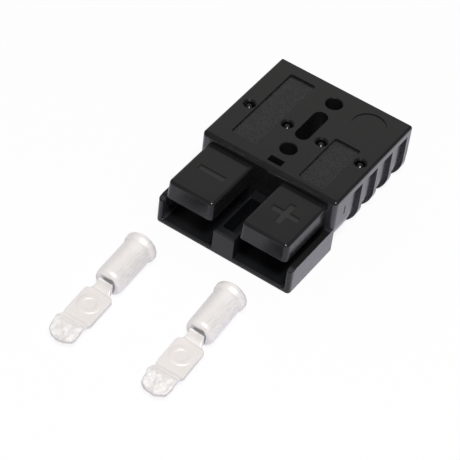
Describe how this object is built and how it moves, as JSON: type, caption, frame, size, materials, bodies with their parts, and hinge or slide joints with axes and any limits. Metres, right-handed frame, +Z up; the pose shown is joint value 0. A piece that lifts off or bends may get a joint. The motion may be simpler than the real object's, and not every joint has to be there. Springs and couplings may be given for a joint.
{
  "type": "genderless power connector",
  "caption": "Genderless two-pole battery connector: flat moulded housing with hoods, tray and grip ribs, its flared crimp contacts laid out in front of it.",
  "frame": {"origin": "on the surface, below the middle of the housing's front wall, where hoods and tray start", "axes": "+X to the plus pole, +Y to the cable side, so the mating side looks along -Y and the contacts lie there, +Z up"},
  "size_m": [0.0558, 0.1432, 0.0244],
  "materials": {
    "housing": "near-black moulded polycarbonate, satin, darker and finer in the recesses",
    "spring": "stainless spring strip, fine rolled grain",
    "contact": "silver-plated copper, pale and satin"
  },
  "bodies": {
    "root": {"housing": "housing", "spring_left": "spring", "spring_right": "spring", "contact_left": "contact", "contact_right": "contact"}
  },
  "joints": []
}
